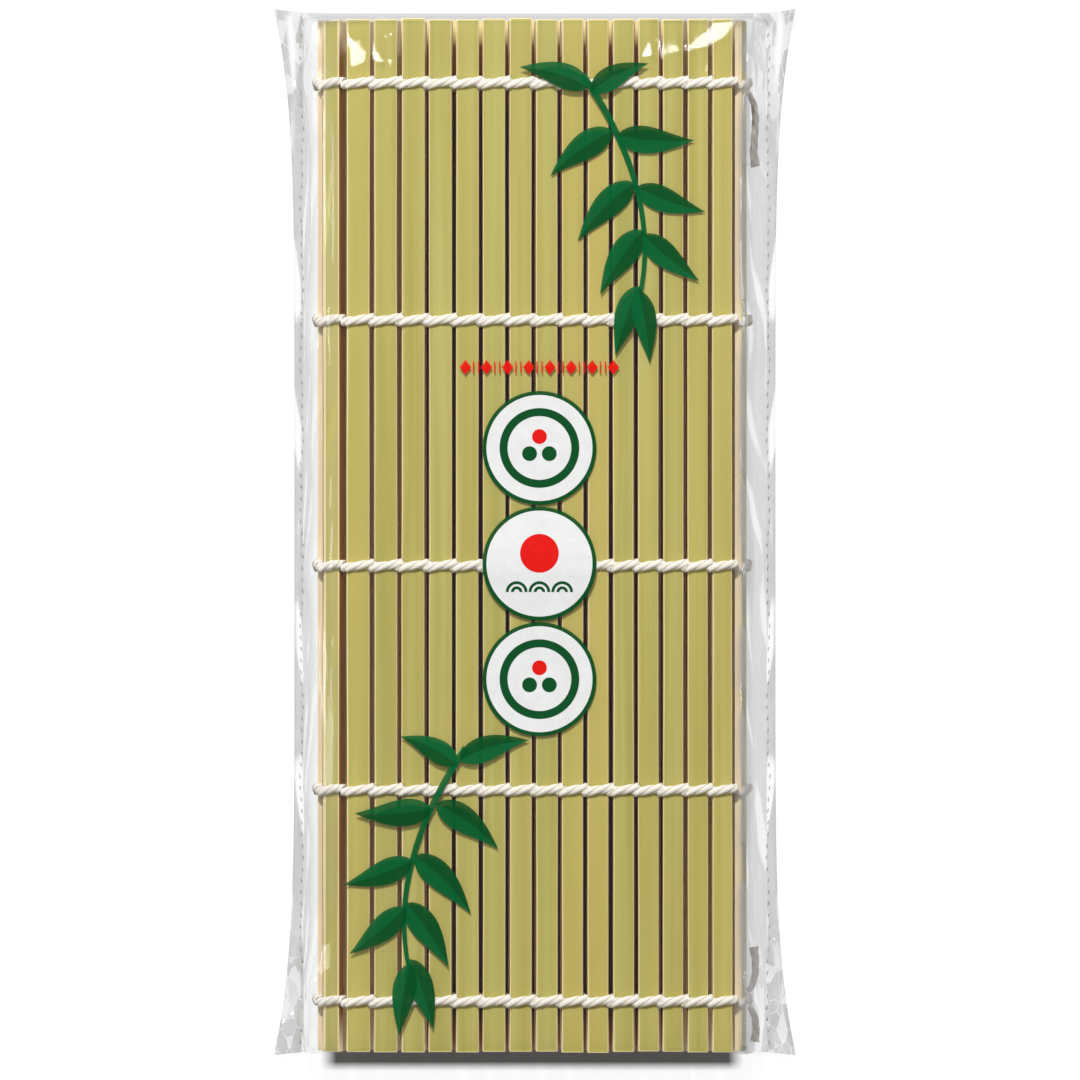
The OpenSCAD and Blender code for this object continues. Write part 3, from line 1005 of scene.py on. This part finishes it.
def make_back_film(mat, material):
    """The back film: flat on the table, out to the fins' edges."""
    y = np.linspace(-BAG_END, BAG_END, 120)[:, None]
    t = np.linspace(-1, 1, 50)[None, :]
    x = fin_edge(y) * t
    z = FILM_T * (0.35 + 0.3 * crumple(x, y, seed=41, waves=3, size=15 * MM))
    points = np.stack(np.broadcast_arrays(x, bowed(x, y), z), axis=-1)
    veil = np.full(points.shape[:2], mat.veil)
    uv = points[..., :2]
    obj = Shape().grid(points, uv, {"veil": veil}).build("bag_back_film_clear", material, smooth=False)
    finish(obj, "bag", "bag_film", "bag_back_film")


# How far a pleat's facet stands over the film at its lowest corner, and its skirt ends under it
PLEAT_RISE = 0.05 * MM
# Sharp pleats of the front film that catch the light: their corners in millimetres
PLEATS = [
    [(-43.4, 116.1), (-43.5, 112.8), (-41.2, 111.8)], [(-37.5, 113.3), (-37.6, 109.6), (-35.1, 108.8)],
    [(-33.9, 109.5), (-33.4, 107.6), (-33.1, 109.6)], [(26.5, 113.6), (27.2, 110.5), (24.6, 110.2)],
    [(34.4, 111.3), (40.8, 112.9), (44.1, 115.0), (46.5, 118.3), (41.5, 117.9), (38.5, 115.0), (35.7, 112.7)],
]


def make_pleats(mat, material):
    """Small pleats on the front film, each a flat facet with a skirt down to the film.

    A facet's normal halves the angle between the ways to the camera and to the small light.
    """
    shape = Shape()
    for corners in PLEATS:
        flat = np.array(corners) * MM
        middle = flat.mean(axis=0)
        film = print_height(flat[:, 0], flat[:, 1], mat, 0)
        here = np.array([*middle, film.mean()])
        ways = [np.array(GLINT_PLACE) - here, np.array([0, 0, mat.camera_distance]) - here]
        normal = sum(way / np.linalg.norm(way) for way in ways)
        plane = -((flat - middle) @ normal[:2]) / normal[2]
        plane += (film - plane).max() + PLEAT_RISE
        rim = np.column_stack([flat, plane])
        foot = np.column_stack([middle + (flat - middle) * 1.12, film - PLEAT_RISE])
        points = np.stack([foot, rim, np.repeat(rim.mean(axis=0, keepdims=True), len(rim), 0)])
        shape.grid(points, points[..., :2], {"veil": np.array(mat.veil)}, wrap=True)
    obj = shape.build("bag_front_pleats", material, smooth=False, closed=True)
    finish(obj, "bag", "bag_film")
    flatten_with_folds(obj)


# A dent of the side welds: its half width and half length, its slant and its height
DENT_WIDE, DENT_LONG, DENT_SLANT, DENT_HIGH = 0.16 * MM, 0.5 * MM, 0.12 * MM, 0.2 * MM
# How far the dents lie outside the seam, and inside the bag's ends
DENTS_OUT, DENTS_IN = 0.45 * MM, 3 * MM


def make_welds(mat):
    """The crimped weld along each side: a row of short slanted dents, each a small dome on the fin."""
    material = weld_material()
    for name, side in (("left", -1), ("right", 1)):
        shape = Shape()
        places = np.arange(-BAG_END + DENTS_IN, BAG_END - DENTS_IN, mat.crimp_pitch)
        along = np.linspace(-1, 1, 5)[:, None]
        across = np.linspace(-1, 1, 4)[None, :]
        for place in places:
            drift = 0.25 * MM * math.sin(place * 190) + 0.15 * MM * math.sin(place * 517)
            x = side * (SEAM_X + DENTS_OUT + drift + DENT_WIDE * across * np.cos(along) + DENT_SLANT * along)
            y = place + DENT_LONG * along
            z = FILM_T * 2 + mat.crinkle * 0.5 + DENT_HIGH * (1 - across ** 2) * (1 - along ** 2)
            points = np.stack(np.broadcast_arrays(x, y, z), axis=-1)
            # Mirrored dents turn their grid round, so that their faces still look up
            shape.grid(points if side > 0 else points[:, ::-1], points[..., :2], {})
        obj = shape.build(f"bag_{name}_weld", material)
        finish(obj, "bag", "bag_film")
        flatten_with_folds(obj)


def flatten_with_folds(obj):
    """Gives a piece of the bag a mesh of its own."""
    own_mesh(obj)


# Print

# The middle of the front panel, where the print is centred
PRINT_MIDDLE = fold_line("front_fold")[0] + (fold_line("right_edge_fold")[0] - fold_line("front_fold")[0]) / 2


# How far each level of ink lies over the one below it
PRINT_STEP = 0.03 * MM


def print_height(x, y, mat, level=1.0):
    """Just over the film, at its own lift."""
    return FILM_HIGH.z + film_lift(x, y, mat) * end_height(y) + PRINT_STEP * level


def add_flat(shape, x, y, mat, level=1.0):
    """A printed patch from a grid of x and y."""
    x, y = np.broadcast_arrays(x, y)
    points = np.stack([x, y, print_height(x, y, mat, level)], axis=-1)
    shape.grid(points, points[..., :2], {})


def add_leaf(shapes, mat, base, heading, length, width, bend, level):
    """A slender leaf in two halves: half width = width sin(pi t^0.7) (1 - 0.25 t), along a line that turns by
    bend t. level says how high over the film it lies."""
    t = np.linspace(0, 1, 22)
    turn = math.radians(heading) + bend * t
    step = length / (len(t) - 1)
    cx = base[0] + np.concatenate([[0], np.cumsum(np.cos(turn[:-1]) * step)])
    cy = base[1] + np.concatenate([[0], np.cumsum(np.sin(turn[:-1]) * step)])
    half = width / 2 * np.sin(math.pi * t ** 0.7) * (1 - 0.25 * t)
    for shape, share in zip(shapes, ((-1, 0), (0, 1))):
        v = np.linspace(*share, 4)
        x = cx[:, None] - np.sin(turn)[:, None] * half[:, None] * v
        y = cy[:, None] + np.cos(turn)[:, None] * half[:, None] * v
        add_flat(shape, x, y, mat, level)


def add_stem(shape, mat, points, width):
    """A stem: a ribbon along a smooth line through the points."""
    line = smooth_line(np.array(points), 50)
    direction = directions(line)
    v = np.linspace(-0.5, 0.5, 4)
    taper = width * (1 - 0.4 * np.linspace(0, 1, len(line)))
    x = line[:, 0, None] - direction[:, 1, None] * taper[:, None] * v
    y = line[:, 1, None] + direction[:, 0, None] * taper[:, None] * v
    add_flat(shape, x, y, mat)


def add_ring(shape, mat, centre, inner, outer, level=1.0, start=0.0, end=360.0):
    """A round band: x = cx + r cos(angle), y = cy + r sin(angle)."""
    angle = np.radians(np.linspace(start, end, 73))[:, None]
    r = np.linspace(inner, outer, 6)[None, :]
    add_flat(shape, centre[0] + r * np.cos(angle), centre[1] + r * np.sin(angle), mat, level)


# Points of a sprig's stem, in millimetres
SPRIG_STEM = [(0, 0), (9, -16), (14, -34), (13, -52)]
# Leaves of a sprig: x and y of the base in millimetres, heading in degrees, length, width and bend
SPRIG_LEAVES = [
    (1.5, -3, 150, 17, 6.5, 0.5), (2, -4, 40, 15, 6, -0.5), (7, -13, 205, 18, 7, 0.4),
    (8, -14, -12, 18, 7, 0.3), (12, -25, 215, 19, 7, 0.4), (12.5, -26, -28, 17, 6.5, 0.3),
    (14, -36, 228, 18, 7, 0.3), (14, -37, -45, 17, 6.5, 0.2), (13, -49, 246, 17, 6.5, 0.2),
    (13, -50, -76, 17, 6, -0.2),
]


def sprig(shapes, mat, origin, side):
    """An arched stem with pairs of slender leaves; side 1 or -1 mirrors it."""
    def at(x, y):
        return origin[0] + side * x * MM, origin[1] + y * MM

    add_stem(shapes[0], mat, [at(x, y) for x, y in SPRIG_STEM], 1.6 * MM)
    for k, (x, y, heading, length, width, bend) in enumerate(SPRIG_LEAVES):
        facing = heading if side > 0 else 180 - heading
        add_leaf(shapes, mat, at(x, y), facing, length * MM, width * MM, side * bend, 2 + 0.8 * (k % 2))


def medallion(green, white, red, mat, centre, radius, motif):
    """A white disc in a green band, with a plain motif: a cut roll, or a sun over waves."""
    add_ring(white, mat, centre, 0, radius - 0.5 * MM, 1)
    add_ring(green, mat, centre, radius - 0.9 * MM, radius, 2)
    if motif == "roll":
        add_ring(green, mat, centre, radius * 0.56, radius * 0.7, 2)
        for k in range(3):
            turn = math.radians(90 + 120 * k)
            spot = (centre[0] + radius * 0.2 * math.cos(turn), centre[1] + radius * 0.2 * math.sin(turn))
            add_ring(red if k == 0 else green, mat, spot, 0, radius * 0.13, 2)
    else:
        add_ring(red, mat, (centre[0], centre[1] + radius * 0.18), 0, radius * 0.34, 2)
        for k in (-1, 0, 1):
            spot = (centre[0] + k * radius * 0.4, centre[1] - radius * 0.5)
            for share in (0.19, 0.1):
                add_ring(green, mat, spot, radius * (share - 0.05), radius * share, 2, 0, 180)


def red_row(shape, mat, centre, count, step):
    """A row of plain diamonds with a pair of short bars between each two."""
    v = np.linspace(-1, 1, 9)[:, None]
    across = np.linspace(-1, 1, 5)[None, :]
    for k in range(count):
        x = centre[0] + (k - (count - 1) / 2) * step
        half = mat.diamond * (1 - np.abs(v))
        add_flat(shape, x + mat.diamond * v * 0.8, centre[1] + half * across, mat, 1)
        if k < count - 1:
            for place in (0.38, 0.62):
                add_flat(shape, x + step * place + 0.09 * mat.diamond * across,
                         centre[1] + mat.diamond * 0.8 * v, mat, 1)


# The medallions' motifs from the top down, the place of the first, their step and their radius
MOTIFS = ("roll", "sun", "roll")
MEDALLION_Y, MEDALLION_STEP, MEDALLION_R = 19.5 * MM, 26.8 * MM, 13.2 * MM
# The row of diamonds: its place, how many there are and their step
DIAMONDS_Y, DIAMOND_COUNT, DIAMOND_STEP = 38.2 * MM, 8, 4.9 * MM


def make_print(mat):
    """The print: two leaf sprigs, three medallions and a row of red diamonds, all plain ornaments."""
    inks = {
        "green": ink_material("ink_green", mat.ink_green),
        "leaf": ink_material("ink_leaf", mat.ink_leaf),
        "white": ink_material("ink_white", mat.ink_white),
        "red": ink_material("ink_red", mat.ink_red),
    }
    leaves, dark_leaves, green, white, red = (Shape() for _ in range(5))
    middle = PRINT_MIDDLE
    sprig((leaves, dark_leaves), mat, (middle + 10 * MM, 106 * MM), 1)
    sprig((leaves, dark_leaves), mat, (middle - 17 * MM, -50 * MM), -1)
    for k, motif in enumerate(MOTIFS):
        medallion(green, white, red, mat, (middle, MEDALLION_Y - k * MEDALLION_STEP), MEDALLION_R, motif)
    red_row(red, mat, (middle, DIAMONDS_Y), DIAMOND_COUNT, DIAMOND_STEP)
    for name, shape, ink in (("print_leaves", leaves, "leaf"), ("print_leaf_halves", dark_leaves, "green"),
                             ("print_green", green, "green"), ("print_white", white, "white"),
                             ("print_red", red, "red")):
        obj = shape.build(name, inks[ink])
        finish(obj, "bag", "bag_film")
        flatten_with_folds(obj)


# Stage

# Length and width of the lights, and how far the floor reaches and lies under the bag
STRIP_SIZE, KEY_SIZE, GLINT_SIZE = (0.30, 0.035), (0.24, 0.16), (0.06, 0.06)
FLOOR_REACH, FLOOR_DROP = 1.5, 0.2 * MM


def make_stage(mat):
    """A white floor under the bag, two strip lights beside it, a soft light over it and the camera above."""
    make_world(mat)
    side = np.linspace(-FLOOR_REACH, FLOOR_REACH, 3)
    x, y = np.meshgrid(side, side, indexing="ij")
    points = np.stack([x, y, np.full_like(x, -FLOOR_DROP)], axis=-1)
    Shape().grid(points, points[..., :2], {}).build("floor", floor_material(mat))
    add_light("left_strip", (-0.72, 0.10, 0.19), STRIP_SIZE, mat.strip_power)
    add_light("right_strip", (0.70, 0.10, 0.17), STRIP_SIZE, mat.strip_power)
    add_light("key", (-0.24, 1.30, 1.55), KEY_SIZE, mat.key_power)
    add_light("glint", GLINT_PLACE, GLINT_SIZE, mat.glint_power)
    add_camera(mat)


def make_world(mat):
    """Weak light from all sides, and plain white where it is seen directly."""
    world = bpy.context.scene.world or bpy.data.worlds.new("studio")
    bpy.context.scene.world = world
    world.use_nodes = True
    world.node_tree.nodes.clear()
    tree = NodeTree(world.node_tree)
    fill, white = (tree.node("Background", {"Color": (1, 1, 1), "Strength": strength})
                   for strength in (mat.fill, 1))
    tree.node("OutputWorld", {0: tree.mix_shaders(seen_directly(tree), fill.outputs[0], white.outputs[0])})


def add_light(name, place, size, power):
    """A rectangular light that faces the frame's origin."""
    light = bpy.data.lights.new(name, "AREA")
    light.shape = "RECTANGLE"
    light.size, light.size_y = size
    light.energy = power
    obj = bpy.data.objects.new(name, light)
    bpy.context.scene.collection.objects.link(obj)
    obj.location = place
    obj.rotation_euler = (-Vector(place)).to_track_quat("-Z", "Y").to_euler()


# The photograph's frame: its width in pixels, the scale at the front slats, and the pixels where the first gap
# of the front and the middle of the slats lie
PHOTO_PX = 1080
PHOTO_PX_PER_MM = 4.3125
FIRST_GAP_PX = 344.4
MAT_MIDDLE_PY = 535.5


def add_camera(mat):
    """A long lens straight above, placed by the photograph's first front gap and the middle of its slats."""
    across = PHOTO_PX / PHOTO_PX_PER_MM * MM
    x = fold_line("front_fold")[0] + (PHOTO_PX / 2 - FIRST_GAP_PX) / PHOTO_PX_PER_MM * MM
    y = MAT_Y + (MAT_MIDDLE_PY - PHOTO_PX / 2) / PHOTO_PX_PER_MM * MM
    camera = bpy.data.cameras.new("camera")
    camera.sensor_width = 36
    camera.lens = camera.sensor_width * mat.camera_distance / across
    camera.clip_end = 20
    obj = bpy.data.objects.new("camera", camera)
    bpy.context.scene.collection.objects.link(obj)
    obj.location = (x, y, GREEN_Z + mat.camera_distance)
    bpy.context.scene.camera = obj
    bpy.context.scene.view_settings.view_transform = "Standard"


# Add-on

def length(name, description, default, low=0.0):
    """A length, shown in the scene's own units."""
    return bpy.props.FloatProperty(name=name, description=description, default=default, min=low,
                                   subtype="DISTANCE", unit="LENGTH", precision=5)


def share(name, description, default):
    """A share from 0 to 1."""
    return bpy.props.FloatProperty(name=name, description=description, default=default, min=0, max=1,
                                   subtype="FACTOR")


def power(name, description, default):
    """A light's power in watts."""
    return bpy.props.FloatProperty(name=name, description=description, default=default, min=0,
                                   subtype="POWER")


def number(name, description, default, low=0.0):
    """A plain number."""
    return bpy.props.FloatProperty(name=name, description=description, default=default, min=low)


def colour(name, description, default):
    """A colour, as red, green and blue."""
    return bpy.props.FloatVectorProperty(name=name, description=description, default=default, size=3,
                                         min=0, max=1, subtype="COLOR")


class MatSizes(bpy.types.PropertyGroup):
    """Sizes of the mat and its bag that a user would change"""
    bevel: length("Bevel", "Pale chamfer along each green face", 0.38 * MM)
    edge_waver: length("Waver", "How far a slat's edges wander", 0.05 * MM)
    # Painted shadow: how far the floor's glow is taken away below the mat
    contact_shadow: length("Contact shadow", "Reach of the dark edge below the mat over the floor", 2.8 * MM)
    # Painted light: how far it lightens the cut sides from each end
    painted_end_light_len: length("Amber length", "How far the lighter ends of the cut sides reach", 8 * MM)
    end_stray: length("End stray", "How much shorter an end may be", 0.35 * MM)
    stitch_rise: length("Stitch rise", "Half of a stitch's rise over its slat", 0.72 * MM)
    stitch_tuck: length("Stitch tuck", "How far a stitch's end rides over the start of the next", 0.1 * MM)
    cord_lift: length("Cord lift", "Height of the cord's middle over a slat's face", 0.5 * MM)
    cord_lay: length("Cord lay", "Length of one turn of the cord's plies", 9.5 * MM)
    knot_r: length("Knot radius", "Radius of the knot at the end of a row", 1.5 * MM)
    tail_r: length("Tail radius", "Radius of a loose tail", 0.9 * MM)
    crinkle: length("Crinkle", "How far the film's creases stand out", 0.5 * MM)
    diamond: length("Diamond", "Half height of a printed diamond", 1.7 * MM)
    crimp_pitch: length("Crimp pitch", "Distance between the crimps of the side welds", 2.7 * MM)
    camera_distance: length("Camera distance", "Distance of the camera from the front slats", 2.4)
    cord_flat: share("Cord flatness", "Thickness of the cord over its width", 0.74)
    overrun: share("Overrun", "How far a stitch swings past its gaps", 0.25)
    film_sag: share("Film sag", "How much of its room the film sinks between the cord rows", 0.6)
    veil: share("Veil", "How milky the clear film is", 0.012)
    wall_veil: share("Wall veil", "How milky the steep film beside the mat is", 0.5)
    fin_veil: share("Fin veil", "How milky the welded fins are", 0.64)
    floor_glow: share("Floor glow", "How much light the floor seems to give where it is seen directly", 0.915)
    shoulder_planed: number("Shoulder chamfer", "Breadth of its outer chamfer over the other slats'", 4.9, 1)
    plunge: number("Plunge", "How abruptly a stitch dives into its gap", 7.0, 1)
    fill: number("Fill", "Strength of the light from all sides", 0.26)
    strip_power: power("Strip lights", "Power of each strip light", 0.9)
    key_power: power("Key light", "Power of the light above the mat's top end", 35.0)
    glint_power: power("Glint light", "Power of the small light that glints on the film", 1.1)
    green_deep: colour("Deep green", "Bamboo skin, darker streaks", (0.40, 0.35, 0.076))
    green_light: colour("Light green", "Bamboo skin, lighter streaks", (0.53, 0.485, 0.15))
    green_aged: colour("Aged green", "Bamboo skin that has turned yellow", (0.58, 0.46, 0.11))
    flesh: colour("Flesh", "Bamboo's pale inner wood", (0.97, 0.85, 0.56))
    flesh_shade: colour("Flesh shade", "Darker fibres of the inner wood", (0.86, 0.70, 0.42))
    cream: colour("Cream", "Chamfers and end edges", (0.93, 0.80, 0.45))
    # Painted shade between the slats, put on their cut sides and chamfer lips
    cut_side_painted_shade: colour("Cut side", "Cut sides of the slats", (0.26, 0.095, 0.008))
    cord: colour("Cord", "Cotton cord", (0.98, 0.955, 0.90))
    # Darker fibres, and painted shade in the grooves between the plies
    cord_fibre_and_groove_shade: colour("Cord shade", "Grooves between the cord's plies", (0.66, 0.55, 0.41))
    ink_green: colour("Green ink", "Print on the film", (0.0, 0.075, 0.016))
    ink_leaf: colour("Leaf ink", "Lighter halves of the leaves", (0.0, 0.115, 0.03))
    ink_white: colour("White ink", "Print on the film", (0.87, 0.88, 0.87))
    ink_red: colour("Red ink", "Print on the film", (0.82, 0.008, 0.005))


def sizes(context):
    """The mat's sizes and colours, as the scene keeps them."""
    return context.scene.rolling_mat


class MAT_OT_slats(bpy.types.Operator):
    """Makes the bamboo slats"""
    bl_idname = "rolling_mat.slats"
    bl_label = "Slats"

    def execute(self, context):
        make_slats(sizes(context))
        return {"FINISHED"}


class MAT_OT_cords(bpy.types.Operator):
    """Makes the twined cord rows, their knots and the loose tails"""
    bl_idname = "rolling_mat.cords"
    bl_label = "Cords"

    def execute(self, context):
        make_cords(sizes(context))
        return {"FINISHED"}


class MAT_OT_bag(bpy.types.Operator):
    """Makes the clear film bag and its crimped side welds"""
    bl_idname = "rolling_mat.bag"
    bl_label = "Bag"

    def execute(self, context):
        mat = sizes(context)
        material = film_material()
        make_front_film(mat, material)
        make_back_film(mat, material)
        make_pleats(mat, material)
        make_welds(mat)
        return {"FINISHED"}


class MAT_OT_print(bpy.types.Operator):
    """Makes the printed ornaments on the bag's front"""
    bl_idname = "rolling_mat.print"
    bl_label = "Print"

    def execute(self, context):
        make_print(sizes(context))
        return {"FINISHED"}


class MAT_OT_stage(bpy.types.Operator):
    """Makes the floor, the lights and the camera"""
    bl_idname = "rolling_mat.stage"
    bl_label = "Stage"

    def execute(self, context):
        make_stage(sizes(context))
        return {"FINISHED"}


OPERATORS = (MAT_OT_stage, MAT_OT_slats, MAT_OT_cords, MAT_OT_bag, MAT_OT_print)


class MAT_PT_panel(bpy.types.Panel):
    """Lists the mat's pieces and sizes"""
    bl_label = "Rolling mat"
    bl_idname = "MAT_PT_panel"
    bl_space_type = "VIEW_3D"
    bl_region_type = "UI"
    bl_category = "Rolling mat"

    def draw(self, context):
        for operator in OPERATORS:
            self.layout.operator(operator.bl_idname)
        for name in MatSizes.__annotations__:
            self.layout.prop(sizes(context), name)


CLASSES = (MatSizes,) + OPERATORS + (MAT_PT_panel,)


def register():
    """Registers the classes and hangs the sizes on the scene."""
    for cls in CLASSES:
        bpy.utils.register_class(cls)
    bpy.types.Scene.rolling_mat = bpy.props.PointerProperty(type=MatSizes)


def unregister():
    """Takes the sizes and the classes away again."""
    del bpy.types.Scene.rolling_mat
    for cls in reversed(CLASSES):
        bpy.utils.unregister_class(cls)


def main():
    """Makes every piece."""
    register()
    bpy.ops.rolling_mat.stage()
    bpy.ops.rolling_mat.slats()
    bpy.ops.rolling_mat.cords()
    bpy.ops.rolling_mat.bag()
    bpy.ops.rolling_mat.print()


if __name__ == "__main__":
    main()
